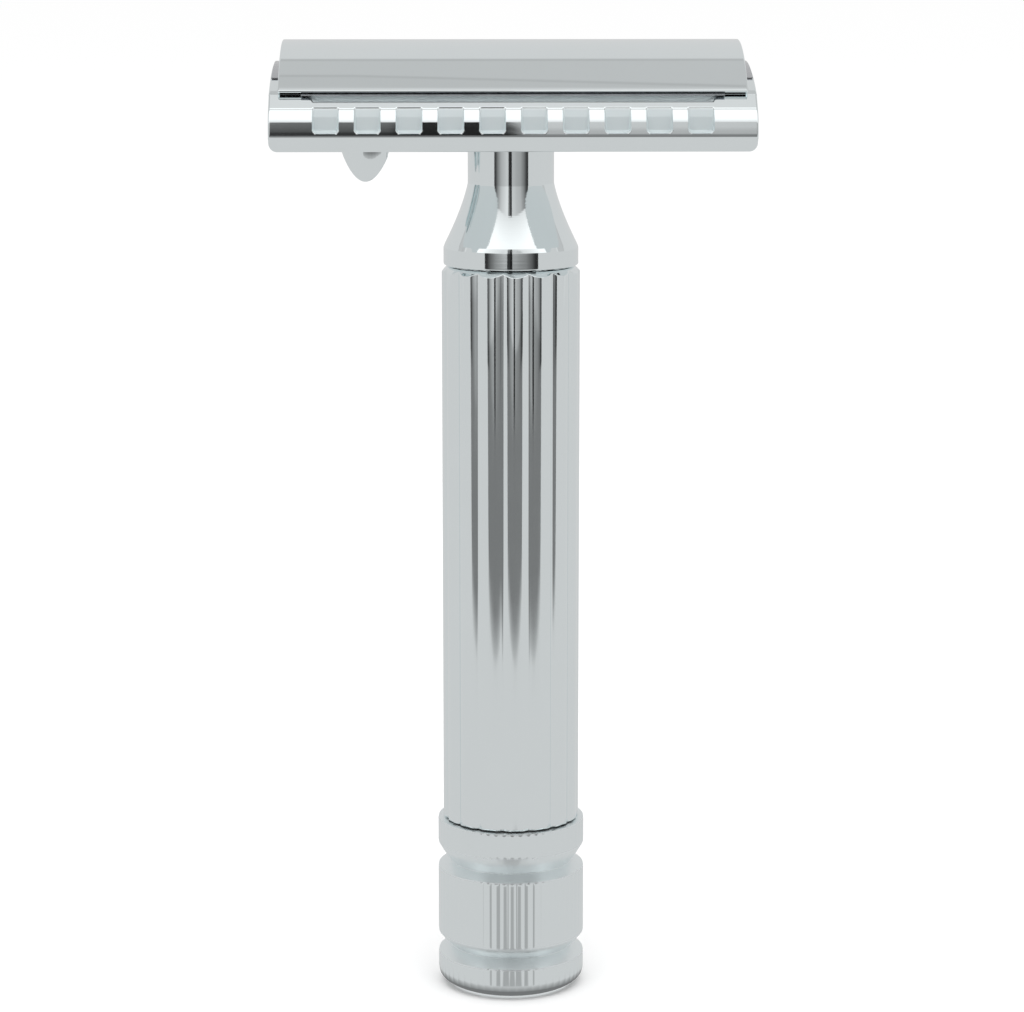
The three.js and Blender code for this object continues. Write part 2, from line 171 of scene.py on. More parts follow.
def reeded(count, crest, reed_radius, turn, blend):
    """The outline of a rod made of round reeds, as a radius for each angle. A reed is a circle whose centre
    lies on a ring inside the crest. Its far side is at ring times cos b plus the root of reed radius
    squared less the square of ring times sin b, b being the angle from the reed's middle, and the greater
    of two neighbours counts."""
    ring = crest - reed_radius
    pitch = 2 * np.pi / count

    def side(b):
        return ring * np.cos(b) + np.sqrt(np.maximum(reed_radius**2 - (ring * np.sin(b)) ** 2, 0.0))

    def outline(angle):
        b = np.abs((angle - turn + pitch / 2) % pitch - pitch / 2)
        return soft_max(side(b), side(pitch - b), blend)

    return outline


# ---- meshes -------------------------------------------------------------------------------


def new_piece(name, points, faces, sharp=38.0):
    """A smooth-shaded closed mesh from points in millimetres, welded at its seams and poles, faces
    outwards."""
    mesh = bpy.data.meshes.new(name)
    mesh.from_pydata((np.reshape(points, (-1, 3)) * MM).tolist(), [], faces.tolist())
    built = bmesh.new()
    built.from_mesh(mesh)
    bmesh.ops.remove_doubles(built, verts=built.verts, dist=3e-7)
    bmesh.ops.recalc_face_normals(built, faces=built.faces)
    built.to_mesh(mesh)
    built.free()
    shade(mesh, sharp)
    piece = bpy.data.objects.new(name, mesh)
    bpy.context.scene.collection.objects.link(piece)
    return piece


def shade(mesh, sharp):
    """Smooth shading, split along edges that turn by more than the angle given in degrees."""
    mesh.polygons.foreach_set("use_smooth", np.ones(len(mesh.polygons), bool))
    mesh.set_sharp_from_angle(angle=math.radians(sharp))
    mesh.update()


def prism(outline, low, high):
    """A closed upright prism on an outline whose two halves face each other point for point, as on a
    strip."""
    n = len(outline)
    rows = np.stack([np.column_stack([outline, np.full(n, z)]) for z in (low, high)])
    sides = grid_faces(2, n, wrap_columns=True)
    k = np.arange(n // 2 - 1)
    lid = np.stack([k, k + 1, n - 2 - k, n - 1 - k], -1)
    return rows, np.concatenate([sides, lid, lid + n])


def carve(piece, tools, operation="DIFFERENCE", sharp=38.0):
    """Cuts tools out of a piece, or joins them to it, and removes the tools."""
    for tool in tools:
        step = piece.modifiers.new(tool.name, "BOOLEAN")
        step.object = tool
        step.operation = operation
        step.solver = "EXACT"
    graph = bpy.context.evaluated_depsgraph_get()
    done = bpy.data.meshes.new_from_object(piece.evaluated_get(graph), depsgraph=graph)
    piece.modifiers.clear()
    old = piece.data
    piece.data = done
    done.name = piece.name
    bpy.data.meshes.remove(old)
    for tool in tools:
        bpy.data.objects.remove(tool)
    shade(done, sharp)


def place(piece, body, nodes, material):
    """Gives a piece its body, the nodes it stands for and its finish."""
    piece.data.materials.clear()
    piece.data.materials.append(material)
    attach(piece, body)
    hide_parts(*nodes)


def refinish(node, material):
    """Gives a carried-over node its finish."""
    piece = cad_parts[node]
    if not piece.material_slots:
        piece.data.materials.append(material)
    for held in piece.material_slots:
        held.material = material


# ---- finishes -----------------------------------------------------------------------------


class Finish:
    """A material under construction: its nodes, its links and its main shader."""

    def __init__(self, name):
        self.material = bpy.data.materials.new(name)
        self.material.use_nodes = True
        self.nodes = self.material.node_tree.nodes
        self.links = self.material.node_tree.links
        self.shader = self.nodes["Principled BSDF"]
        self.place = self.nodes.new("ShaderNodeTexCoord").outputs["Object"]

    def stretched(self, scale):
        """Object coordinates multiplied by a scale for each axis."""
        mapping = self.nodes.new("ShaderNodeMapping")
        mapping.inputs["Scale"].default_value = scale
        self.links.new(self.place, mapping.inputs["Vector"])
        return mapping.outputs["Vector"]

    def noise(self, vector, scale, detail=3.0, rough=0.5):
        """Noise between 0 and 1 on the vector given."""
        noise = self.nodes.new("ShaderNodeTexNoise")
        noise.inputs["Scale"].default_value = scale
        noise.inputs["Detail"].default_value = detail
        noise.inputs["Roughness"].default_value = rough
        self.links.new(vector, noise.inputs["Vector"])
        return noise.outputs["Fac"]

    def ranged(self, value, low, high, from_low=0.3, from_high=0.7):
        """A value mapped from one range to another and held inside it."""
        step = self.nodes.new("ShaderNodeMapRange")
        step.inputs["From Min"].default_value = from_low
        step.inputs["From Max"].default_value = from_high
        step.inputs["To Min"].default_value = low
        step.inputs["To Max"].default_value = high
        self.links.new(value, step.inputs["Value"])
        return step.outputs["Result"]

    def maths(self, kind, a, b=0.0):
        """Two values combined; either may be a plain number."""
        step = self.nodes.new("ShaderNodeMath")
        step.operation = kind
        for socket, value in zip(step.inputs, (a, b)):
            if isinstance(value, (int, float)):
                socket.default_value = value
            else:
                self.links.new(value, socket)
        return step.outputs["Value"]

    def tinted(self, value, first, second):
        """A colour between two, chosen by a value between 0 and 1."""
        ramp = self.nodes.new("ShaderNodeValToRGB")
        ramp.color_ramp.elements[0].color = (*first, 1)
        ramp.color_ramp.elements[1].color = (*second, 1)
        self.links.new(value, ramp.inputs["Fac"])
        self.links.new(ramp.outputs["Color"], self.shader.inputs["Base Color"])

    def roughness(self, value):
        """Sends a value to the shader's roughness."""
        self.links.new(value, self.shader.inputs["Roughness"])

    def relief(self, value, depth, strength=1.0):
        """Bump from a height between 0 and 1 that stands for the depth given in metres."""
        bump = self.nodes.new("ShaderNodeBump")
        bump.inputs["Strength"].default_value = strength
        bump.inputs["Distance"].default_value = depth
        self.links.new(value, bump.inputs["Height"])
        self.links.new(bump.outputs["Normal"], self.shader.inputs["Normal"])


def shades(colour, spread):
    """Two shades of a colour, a little darker and a little lighter."""
    return tuple([min(c * (1 + s * spread), 1.0) for c in colour[:3]] for s in (-1, 1))


def chrome_finish(name, colour, haze, streaks, depth, satin=None):
    """Chrome plate: faint clouds of polishing haze, and hair-fine polishing lines that run the way the
    scale of the streaks says. The satin attribute, where a piece has one, dulls the recesses that the
    polishing wheel misses."""
    finish = Finish(name)
    finish.shader.inputs["Metallic"].default_value = 1.0
    clouds = finish.noise(finish.place, 260.0, 4.0, 0.55)
    lines = finish.noise(finish.stretched(streaks), 1.0, 4.0, 0.6)
    specks = finish.noise(finish.place, 5200.0, 2.0, 0.5)
    finish.tinted(clouds, *shades(colour, 0.012))
    rough = finish.ranged(clouds, 0.6 * haze, 1.5 * haze)
    rough = finish.maths("ADD", rough, finish.ranged(lines, 0.0, 0.9 * haze))
    if satin is not None:
        attribute = finish.nodes.new("ShaderNodeAttribute")
        attribute.attribute_name = "satin"
        dull = finish.maths("MULTIPLY", attribute.outputs["Fac"], satin)
        rough = finish.maths("ADD", rough, dull)
    finish.roughness(rough)
    height = finish.maths("ADD", lines, finish.maths("MULTIPLY", specks, 0.08))
    finish.relief(height, depth)
    return finish.material


def steel_finish(name, colour, streaks, depth, rough=0.22):
    """Ground or turned steel: fine parallel grinding lines in height, gloss and shade."""
    finish = Finish(name)
    finish.shader.inputs["Metallic"].default_value = 1.0
    lines = finish.noise(finish.stretched(streaks), 1.0, 5.0, 0.65)
    clouds = finish.noise(finish.place, 320.0, 3.0)
    finish.tinted(lines, *shades(colour, 0.1))
    spread = finish.maths("ADD", finish.ranged(lines, 0.7 * rough, 1.2 * rough), finish.ranged(clouds, 0.0, 0.06))
    finish.roughness(spread)
    finish.relief(lines, depth)
    return finish.material


def rubber_finish(name, colour):
    """Moulded rubber: dull black with a fine grain."""
    finish = Finish(name)
    grain = finish.noise(finish.place, 9000.0, 3.0)
    clouds = finish.noise(finish.place, 900.0, 3.0)
    finish.tinted(clouds, *shades(colour, 0.25))
    finish.roughness(finish.ranged(grain, 0.5, 0.75))
    finish.relief(grain, 0.00001)
    return finish.material


# ---- head ---------------------------------------------------------------------------------


def arch_height(w, crest, edge_w, edge_z):
    """Height of a circular arch over the distance w from its middle, through its crest and its edge point."""
    drop = crest - edge_z
    radius = (edge_w**2 + drop**2) / (2 * drop)
    return crest - radius + np.sqrt(radius**2 - w**2)


def cap_section(sizes):
    """The cap's section as a loop: over the crown, round a lip, back under the clamping arch, round the
    other."""
    lip, inset = sizes.cap_half_width / MM, sizes.cap_lip / MM
    top = np.linspace(-lip, lip, 73)
    crown = np.column_stack([top, arch_height(top, TOP, lip, 85.14)])
    below = np.linspace(lip - inset, -(lip - inset), 73)
    under = np.column_stack([below, arch_height(below, 87.3, 10.45, 85.0)])
    turn_right = rounded([crown[-2], crown[-1], under[0], under[1]], [0, 0.13, 0.08, 0], 6, closed=False)[1:-1]
    turn_left = turn_right[::-1] * [-1, 1]
    return np.concatenate([crown[1:-1], turn_right, under[1:-1], turn_left])


def lengthwise(section, half, soft, loop_half):
    """A bar along X with softened ends. At each end the section draws inwards along its own normals by soft
    less soft times cos t, while x comes to half less soft plus soft times sin t. Each end is closed by a
    strip across."""
    n = len(section)
    ahead = np.roll(section, -1, 0) - np.roll(section, 1, 0)
    normal = np.column_stack([ahead[:, 1], -ahead[:, 0]]) / np.linalg.norm(ahead, axis=1, keepdims=True)
    t = np.linspace(0, np.pi / 2, 6)
    x = np.concatenate([[0.0, half / 2, half - soft - 0.03], half - soft + soft * np.sin(t)])
    pull = np.concatenate([[0.0, 0.0, 0.0], soft - soft * np.cos(t)])
    x = np.concatenate([-x[:0:-1], x])
    pull = np.concatenate([pull[:0:-1], pull])
    inner = section[None] + pull[:, None, None] * normal[None]
    points = np.concatenate([np.broadcast_to(x[:, None, None], (len(x), n, 1)), inner], 2)
    sides = grid_faces(len(x), n, wrap_columns=True)
    k = np.arange(loop_half - 1)
    strip = np.stack([k, k + 1, n - 2 - k, n - 1 - k], -1)
    return points, np.concatenate([sides, strip, strip + (len(x) - 1) * n])


def lug_outline(centre, middle, half, reach, steps=48):
    """The plan of a lug, a C open towards the stud: the middle radius plus and less half the wall, the half
    falling to nothing on a quarter circle at each tip of the C."""
    run = np.linspace(-1, 1, steps)
    a = np.radians(reach) * np.sin(run * np.pi / 2)
    left = np.clip((np.radians(reach) - np.abs(a)) * middle / 0.25, 0.0, 1.0)
    wall = half * np.sqrt(np.maximum(1 - (1 - left) ** 2, 0.02))
    outside = np.column_stack([centre + (middle + wall) * np.cos(a), (middle + wall) * np.sin(a)])
    inside = np.column_stack([centre + (middle - wall) * np.cos(a), (middle - wall) * np.sin(a)])[::-1]
    return np.concatenate([outside, inside])


def lug_surface(side, soft=0.12):
    """A lug: the C plan carried up from a tip that follows a parabola, tip height plus taper times the
    square of the distance from its middle over half its width. At the tip's edge the wall swells from half
    less soft to half over a quarter circle. Under the plate the plan narrows front to back by the draft for
    each millimetre down."""
    t = np.linspace(0, np.pi / 2, 5)
    rows = []
    for pull, lift in zip(soft * (1 - np.sin(t)), soft * (1 - np.cos(t))):
        outline = lug_outline(12.4, 2.5, 0.6 - pull, 116.0)
        tip = 76.45 + 2.75 * ((outline[:, 0] - 13.27) / 2.25) ** 2
        rows.append(np.column_stack([outline, tip + lift]))
    for height in (80.0, 87.6):
        rows.append(np.column_stack([outline, np.full(len(outline), height)]))
    rows = np.stack(rows) * [side, 1, 1]
    rows[..., 1] *= 1 - 0.085 * np.maximum(80.0 - rows[..., 2], 0.0)
    n = rows.shape[1]
    sides = grid_faces(len(rows), n, wrap_columns=True)
    k = np.arange(n // 2 - 1)
    lid = np.stack([k, k + 1, n - 2 - k, n - 1 - k], -1)
    return rows, np.concatenate([sides, lid, lid + (len(rows) - 1) * n])


GUARD_W, GUARD_Z, GUARD_ARC = 9.75, 81.6, 2.695
SHOULDER_W, SHOULDER_Z, SHOULDER_SLOPE = 11.476, 83.67, 0.9


def guard_reach(z):
    """The guard's arc: its middle's distance plus the root of the radius squared less the height above it
    squared."""
    return GUARD_W + np.sqrt(GUARD_ARC**2 - (z - GUARD_Z) ** 2)


def block_height(w):
    """The height of the whole block at a distance w from its middle: the hump's arc, the shoulder's flat
    slope and the guard's arc, whichever is lower, the first two blended."""
    round_part = GUARD_Z + np.sqrt(np.maximum(GUARD_ARC**2 - (w - GUARD_W) ** 2, 0.0))
    facet = SHOULDER_Z + (SHOULDER_W - w) * SHOULDER_SLOPE
    hump = 62.41 + np.sqrt(np.maximum(24.69**2 - w**2, 0.0))
    outer = np.where(w > SHOULDER_W, round_part, facet)
    return soft_min(outer, hump, 0.02)


def plate_stations(sizes):
    """Places along X: close together at each notch's walls and corners and at the softened ends."""
    count, pitch, width = sizes.notches, sizes.notch_pitch / MM, sizes.notch_width / MM
    centre = (np.arange(count) - (count - 1) / 2) * pitch
    near = np.array([-0.36, -0.27, -0.19, -0.12, -0.075, -0.04, 0.0, 0.035, 0.07, 0.11, 0.2])
    walls = np.concatenate([width / 2 + near, [0.0, width / 4]])
    local = np.concatenate([-walls, walls])
    notches = (centre[:, None] + local[None, :]).ravel()
    lands = (centre[:-1] + pitch / 2)[:, None] + np.array([-0.35, 0.0, 0.35])[None, :]
    t = np.linspace(0, np.pi / 2, 7)
    tips = HALF_PLATE - 0.16 + 0.16 * np.sin(t)
    ends = np.concatenate([np.linspace(16.6, 18.4, 28), np.linspace(18.7, HALF_PLATE - 0.9, 5)])
    corner = HALF_PLATE - 0.8 + 0.64 * np.sin(np.linspace(0, np.pi / 2, 9))[:-1]
    x = np.concatenate([notches, lands.ravel(), ends, -ends, corner, -corner, tips, -tips, [0.0]])
    x = np.unique(np.round(x, 4))
    return x[np.concatenate([[True], np.diff(x) > 0.004])]


def plate_surface(sizes):
    """The base plate as one grid: places along X by places round half a section, mirrored. Going round:
    flat underside, foot, lip, guard arc, then from the guard's upper part inwards a height over the
    distance w from the middle, then the channel's wall and the hump. Notches pull the guard's face in to a
    floor inside a rectangle with rounded lower corners. The channel is the rounded lesser of the block's
    height and the greater of its floor and its sloped end walls."""
    crease = 81.02
    lip = guard_reach(crease) - 0.04
    foot = lip - sizes.lip_lean / MM
    half_notch = sizes.notch_width / MM / 2
    x = plate_stations(sizes)[:, None]
    notch_x = (np.arange(sizes.notches) - (sizes.notches - 1) / 2) * sizes.notch_pitch / MM
    off = np.abs(x - notch_x[None, :]).min(1, keepdims=True)

    ones = np.ones_like(x)
    under = np.linspace(0.0, foot - 0.25, 9)
    foot_path = rounded(
        [[foot - 0.3, 79.9], [foot, 79.9], [lip, crease], [guard_reach(81.2), 81.2]],
        [0, 0.14, 0.02, 0],
        6,
        closed=False,
    )
    lowest = np.array([81.25, 81.36, 81.46, 81.53])
    notch_foot = 81.6 + np.array([0, 0.03, 0.06, 0.09, 0.12, 0.16, 0.2, 0.24, 0.28, 0.32, 0.36, 0.4])
    upper = [np.linspace(82.1, 82.9, 5), [82.95], np.linspace(83.02, 83.7, 7)]
    front_z = np.concatenate([lowest, notch_foot, *upper])[None, :]

    corner = 0.35
    dx = off - (half_notch - corner)
    dz = (81.6 + corner) - front_z
    outside = np.hypot(np.maximum(dx, 0), np.maximum(dz, 0)) + np.minimum(np.maximum(dx, dz), 0) - corner
    open_here = smooth_step(0.5 - outside / 0.14)
    notch_w = np.interp(front_z, [81.6, 81.8, 82.95, 83.7], [12.1, 11.9, 11.72, 11.36])
    front_w = guard_reach(front_z) * (1 - open_here) + notch_w * open_here

    notched = smooth_step(0.5 - (off - half_notch) / 0.14)
    t = np.linspace(0, 1, 6)[None, 1:]
    land_w = guard_reach(83.7) + (11.34 - guard_reach(83.7)) * t
    cut_w = 11.36 - 0.02 * t
    brow_w = land_w * (1 - notched) + cut_w * notched
    brow_z = block_height(land_w) * (1 - notched) + (83.7 + (block_height(11.34) - 83.7) * t) * notched

    top_parts = ((11.32, 11.02, 6), (10.98, 10.86, 6), (10.78, 10.3, 7))
    top_w = np.concatenate([np.linspace(*part) for part in top_parts])
    top_w = np.concatenate([top_w, [10.27, 10.25, 10.23, 10.21, 10.2]])[None, :]
    end_wall = 84.2 + (np.abs(x) - 16.9 - 1.1 * (top_w - 10.2)) / 1.7
    cove = 0.08 * smooth_step((10.32 - top_w) / 0.12)
    floor = soft_max(84.2 + cove, end_wall, 0.05)
    top_z = soft_min(block_height(top_w), floor, 0.03)
    top_w = top_w * ones

    rise = np.array([0.1, 0.2, 0.4, 0.6, 0.8, 0.9, 0.95])[None, :]
    wall_top = block_height(np.array(10.16))
    wall_z = top_z[:, -1:] * (1 - rise) + wall_top * rise
    wall_w = 10.2 - 0.04 * rise**6 * ones
    angle = np.linspace(math.asin(10.1 / 24.69), 0.0, 22)[None, :]
    hump_w = 24.69 * np.sin(angle) * ones
    hump_z = (62.41 + 24.69 * np.cos(angle)) * ones

    w = np.concatenate(
        [under[None] * ones, foot_path[None, 1:-1, 0] * ones, front_w, brow_w, top_w, wall_w, hump_w], 1
    )
    z = np.concatenate(
        [79.9 * ones * np.ones_like(under)[None], foot_path[None, 1:-1, 1] * ones, front_z * ones]
        + [brow_z, top_z, wall_z, hump_z],
        1,
    )

    reach = np.maximum(np.abs(x) - (HALF_PLATE - 0.8), 0.0)
    floor_z = 79.9 + 0.8 - np.sqrt(np.maximum(0.8**2 - np.minimum(reach, 0.8) ** 2, 0.0))
    z = np.maximum(z, np.minimum(floor_z, 80.7))
    pull = 0.16 - np.sqrt(np.maximum(0.16**2 - np.maximum(np.abs(x) - (HALF_PLATE - 0.16), 0.0) ** 2, 0.0))
    ahead_w, ahead_z = np.gradient(w, axis=1), np.gradient(z, axis=1)
    size = np.maximum(np.hypot(ahead_w, ahead_z), 1e-6)
    w = np.maximum(w - pull * ahead_z / size, 0.0)
    z = z + pull * ahead_w / size
    w[:, -1] = 0.0
    w[:, 0] = 0.0

    along = x * np.ones_like(w)
    right = np.stack([along, w, z], -1)
    left = np.stack([along, -w, z], -1)[:, ::-1]
    points = np.concatenate([right, left[:, 1:-1]], 1)
    n, m = points.shape[1], right.shape[1]
    sides = grid_faces(len(x), n, wrap_columns=True)
    k = np.arange(1, m - 2)
    strip = np.stack([k, k + 1, n - 1 - k, n - k], -1)
    first = np.array([[0, 1, n - 1, n - 1], [m - 2, m - 1, m, m]])
    tips = np.concatenate([strip, first])
    return points, np.concatenate([sides, tips, tips + (len(x) - 1) * n])


def store_wear(piece, rule):
    """Point data called satin, from 0 on polished faces to 1 in recesses: a rule of the vertex's place in
    mm."""
    co = np.empty(len(piece.data.vertices) * 3, np.float32)
    piece.data.vertices.foreach_get("co", co)
    x, y, z = co.reshape(-1, 3).T.astype(float) / MM
    attribute = piece.data.attributes.new("satin", "FLOAT", "POINT")
    attribute.data.foreach_set("value", np.clip(rule(x, y, z), 0.0, 1.0).astype(np.float32))


def plate_wear(sizes):
    """The rule for the plate: the depth under the guard's arc inside a notch, and the depth under the
    block's top in the channel, each brought to 0 to 1."""
    notch_x = (np.arange(sizes.notches) - (sizes.notches - 1) / 2) * sizes.notch_pitch / MM

    def rule(x, y, z):
        w = np.abs(y)
        off = np.abs(x[:, None] - notch_x[None, :]).min(1)
        in_arc = GUARD_ARC - np.hypot(w - GUARD_W, z - GUARD_Z)
        inside = (off < sizes.notch_width / MM / 2 + 0.01) & (w > 11.3) & (z > 81.55)
        channel = (w > 10.12) & (w < 11.35) & (z > 84.1) & (np.abs(x) < 18.5)
        notch = smooth_step((in_arc - 0.02) / 0.1) * inside
        return np.maximum(notch, smooth_step((block_height(w) - z - 0.02) / 0.08) * channel)

    return rule


def threaded_rod(radius, depth, pitch, low, high, chamfer, sides=64, per_turn=12):
    """A screw thread. The radius at angle a and height z is the crest less the depth times a smooth wave of
    the phase z over the pitch less a over a full turn, and no more than the chamfer's cone at either
    end."""
    heights = np.linspace(low, high, int((high - low) / pitch * per_turn) + 1)[:, None]
    angle = np.arange(sides)[None, :] * (2 * np.pi / sides)
    phase = heights / pitch - angle / (2 * np.pi)
    wave = np.abs((phase % 1.0) * 2 - 1)
    r = radius - depth * smooth_step(wave * 1.15 - 0.05)
    cone = radius - chamfer + (heights - low)
    r = soft_min(r, cone, 0.03)
    points = np.stack([r * np.sin(angle), -r * np.cos(angle), heights * np.ones_like(angle)], -1)
    bottom = points[:1] * [0, 0, 1]
    top = points[-1:] * [0, 0, 1]
    points = np.concatenate([bottom, points, top])
    return points, grid_faces(len(points), sides, wrap_columns=True)


# ---- handle -------------------------------------------------------------------------------


def neck_profile():
    """The neck's profile as a loop: tail, shoulder, flare on a quadratic curve, stem, spigot and bore."""
    t = np.linspace(0, 1, 40)[:, None]
    low, pull, high = np.array([6.05, 70.7]), np.array([4.4, 74.0]), np.array([3.95, 76.2])
    flare = (1 - t) ** 2 * low + 2 * t * (1 - t) * pull + t**2 * high
    base = rounded(
        [[3.1, 60], [4.15, 60], [4.15, 68.75], [6.2, 68.75], [6.2, 70.32], flare[0], flare[3]],
        [0.1, 0.2, 0.05, 0.12, 0.1, 0.1, 0.0],
        6,
        closed=False,
    )
    stem = rounded(
        [flare[-2], flare[-1], [3.95, 79.8], [3.65, 79.8], [3.65, 84.2], [3.1, 84.2], [3.1, 60]],
        [0, 0.5, 0.05, 0.05, 0.1, 0.1, 0.0],
        5,
        closed=False,
    )
    return finer(np.concatenate([base[:-1], flare[3:-2], stem[:-1]]), 1.2)


def barrel_profile(bore, chamfer):
    """The barrel's profile as a loop, with closely spaced heights where its end chamfers meet the reeds."""
    low, high, outside = BARREL_LOW, BARREL_HIGH, 7.2
    top_fine = np.linspace(high - chamfer - 0.02, high - 0.04, 26)
    top = np.column_stack([outside * np.ones(26), top_fine])
    top[:, 0] = np.minimum(outside, BARREL_RADIUS - chamfer + (high - top_fine))
    bottom_fine = np.linspace(low + 0.01, low + 0.12, 7)
    bottom = np.column_stack([BARREL_RADIUS - 0.1 + (bottom_fine - low), bottom_fine])
    middle = np.column_stack([np.full(7, outside), np.linspace(low + 0.2, high - chamfer - 0.06, 7)])
    neck = BARREL_RADIUS - chamfer
    rim = [[neck + 0.01, high - 0.01], [neck - 0.04, high], [bore + 0.1, high], [bore, high - 0.1]]
    foot = [[bore, low + 0.1], [bore + 0.1, low], [6.0, low]]
    return np.concatenate([bottom, middle, top, rim, foot])


def upright(low, high):
    """A fluted side from one height to another, its rows close together at both rims."""
    near = np.array([0.0, 0.05, 0.1, 0.16, 0.23, 0.32])
    height = np.concatenate([low + near, np.linspace(low + 0.6, high - 0.6, 4), high - near[::-1]])
    return np.column_stack([np.full(len(height), KNOB_SIDE), height])


def groove(low, root, high):
    """One V groove of the knob, between the rims of two fluted sides."""
    return rounded([[KNOB_SIDE, low], [5.7, root], [KNOB_SIDE, high]], [0, 0.05, 0], 5, closed=False)[1:-1]


def knob_profile():
    """The knob's profile from the middle of its foot, over the V grooves and the rounded brim, into its
    bore."""
    foot_angle = np.radians(np.linspace(-90, -18, 16))
    foot = np.column_stack([4.5 + 2.38 * np.cos(foot_angle), 1.45 + 1.45 * np.sin(foot_angle)])
    foot[0] = (4.5, 0.0)
    brim = rounded([[KNOB_SIDE, 16.05], [6.9, 16.28], [6.0, 16.28]], [0, 0.1, 0], 5, closed=False)[1:]
    inside = rounded(
        [brim[-1], [3.8, 16.28], [3.8, 15.1], [2.55, 15.1], [2.55, 5.6], [0.0, 5.6]],
        [0, 0.12, 0.1, 0.1, 0.1, 0],
        5,
        closed=False,
    )
    lower, higher = KNOB_GROOVES
    outside = [foot, upright(1.5, lower[0]), groove(*lower), upright(lower[2], higher[0])]
    outside += [groove(*higher), upright(higher[2], 16.05)]
    return finer(np.concatenate([[[0.0, 0.0]], *outside, brim, inside[1:]]), 1.6, closed=False)


def knob_wear(rims):
    """The rule for the knob: the depth inside its V grooves, or the nearness to a rim of its fluted sides."""

    def rule(x, y, z):
        groove_depth = smooth_step((6.7 - np.hypot(x, y)) / 0.15) * (z > 2.9)
        rim_nearness = smooth_step((0.2 - np.abs(z[..., None] - rims).min(-1)) / 0.1)
        return np.maximum(groove_depth, 0.8 * rim_nearness)

    return rule


# ---- settings -----------------------------------------------------------------------------


class RazorSizes(bpy.types.PropertyGroup):
    """Lengths and counts of the razor's visible pieces."""

    cap_half_width: bpy.props.FloatProperty(
        name="Cap half width", description="From the cap's middle to its lip", default=0.0107, unit="LENGTH"
    )
    cap_lip: bpy.props.FloatProperty(
        name="Lip bevel", description="Width of the bevel under the cap's lip", default=0.00025, unit="LENGTH"
    )
    cap_soft: bpy.props.FloatProperty(
        name="Cap end rounding", description="Rounding of the cap's end edges", default=0.00012, unit="LENGTH"
    )
    notches: bpy.props.IntProperty(name="Notches", description="Notches along each guard", default=10, min=2)
    notch_pitch: bpy.props.FloatProperty(
        name="Notch pitch", description="From one notch to the next", default=0.00366, unit="LENGTH"
    )
    notch_width: bpy.props.FloatProperty(
        name="Notch width", description="Width of one notch", default=0.0022, unit="LENGTH"
    )
    lip_lean: bpy.props.FloatProperty(
        name="Lip lean", description="How far the guard's lower lip leans in", default=0.0005, unit="LENGTH"
    )
    reeds: bpy.props.IntProperty(name="Barrel reeds", description="Round reeds about the barrel", default=16, min=6)
    reed_radius: bpy.props.FloatProperty(
        name="Reed radius", description="Radius of one reed of the barrel", default=0.0018, unit="LENGTH"
    )
    reed_turn: bpy.props.FloatProperty(
        name="Reed turn",
        description="Angle from the front to the middle of the nearest reed",
        default=math.radians(3.2),
        subtype="ANGLE",
    )
    flutes: bpy.props.IntProperty(name="Knob reeds", description="Small reeds about the knob", default=56, min=12)
    flute_radius: bpy.props.FloatProperty(
        name="Knob reed radius", description="Radius of one reed of the knob", default=0.00085, unit="LENGTH"
    )
    thread_pitch: bpy.props.FloatProperty(
        name="Thread pitch", description="Rise of the cap stud's thread in one turn", default=0.0007, unit="LENGTH"
    )


class RazorColours(bpy.types.PropertyGroup):
    """Colours of the razor's finishes and of the stage."""

    chrome: bpy.props.FloatVectorProperty(
        name="Chrome", description="Colour of the chrome plate", subtype="COLOR", size=3, default=(0.87, 0.92, 0.93)
    )
    steel: bpy.props.FloatVectorProperty(
        name="Steel", description="Colour of the ground steel", subtype="COLOR", size=3, default=(0.53, 0.54, 0.56)
    )
    brass: bpy.props.FloatVectorProperty(
        name="Brass", description="Colour of the turned brass", subtype="COLOR", size=3, default=(0.62, 0.42, 0.15)
    )
    rubber: bpy.props.FloatVectorProperty(
        name="Rubber", description="Colour of the seal", subtype="COLOR", size=3, default=(0.012, 0.012, 0.013)
    )
    floor: bpy.props.FloatVectorProperty(
        name="Floor", description="Colour of the studio floor", subtype="COLOR", size=3, default=(0.97, 0.97, 0.97)
    )


def chrome(name, streaks, depth=7e-7, haze=0.03, satin=None):
    """The chrome finish in the scene's colour."""
    colour = bpy.context.scene.razor_colours.chrome
    return chrome_finish(name, tuple(colour), haze, streaks, depth, satin)


ACROSS = (60.0, 3200.0, 3200.0)
UPRIGHT = (3000.0, 3000.0, 45.0)
ROUND_ABOUT = (40.0, 40.0, 4200.0)


# ---- operators ----------------------------------------------------------------------------


class RAZOR_OT_cap(bpy.types.Operator):
    """Make the arched cap with its two lugs"""

    bl_idname = "razor.cap"
    bl_label = "Cap"

    def execute(self, context):
        sizes = context.scene.razor_sizes
        section = cap_section(sizes)
        points, faces = lengthwise(section, HALF_CAP, sizes.cap_soft / MM, len(section) // 2)
        cap = new_piece("cap_bar", points, faces)
        lugs = []
        for side in (-1, 1):
            lugs.append(new_piece("lug", *lug_surface(side)))
        carve(cap, lugs, "UNION")
        hole = np.array([[0.0, 86.0], [2.1, 86.0], [2.1, 88.3], [0.0, 88.3]])
        bore = new_piece("stud_hole", turned(hole, 48), grid_faces(4, 48, wrap_columns=True))
        carve(cap, [bore])
        place(cap, "cap_assembly", ["cap"], chrome("chrome_cap", ACROSS))
        return {"FINISHED"}


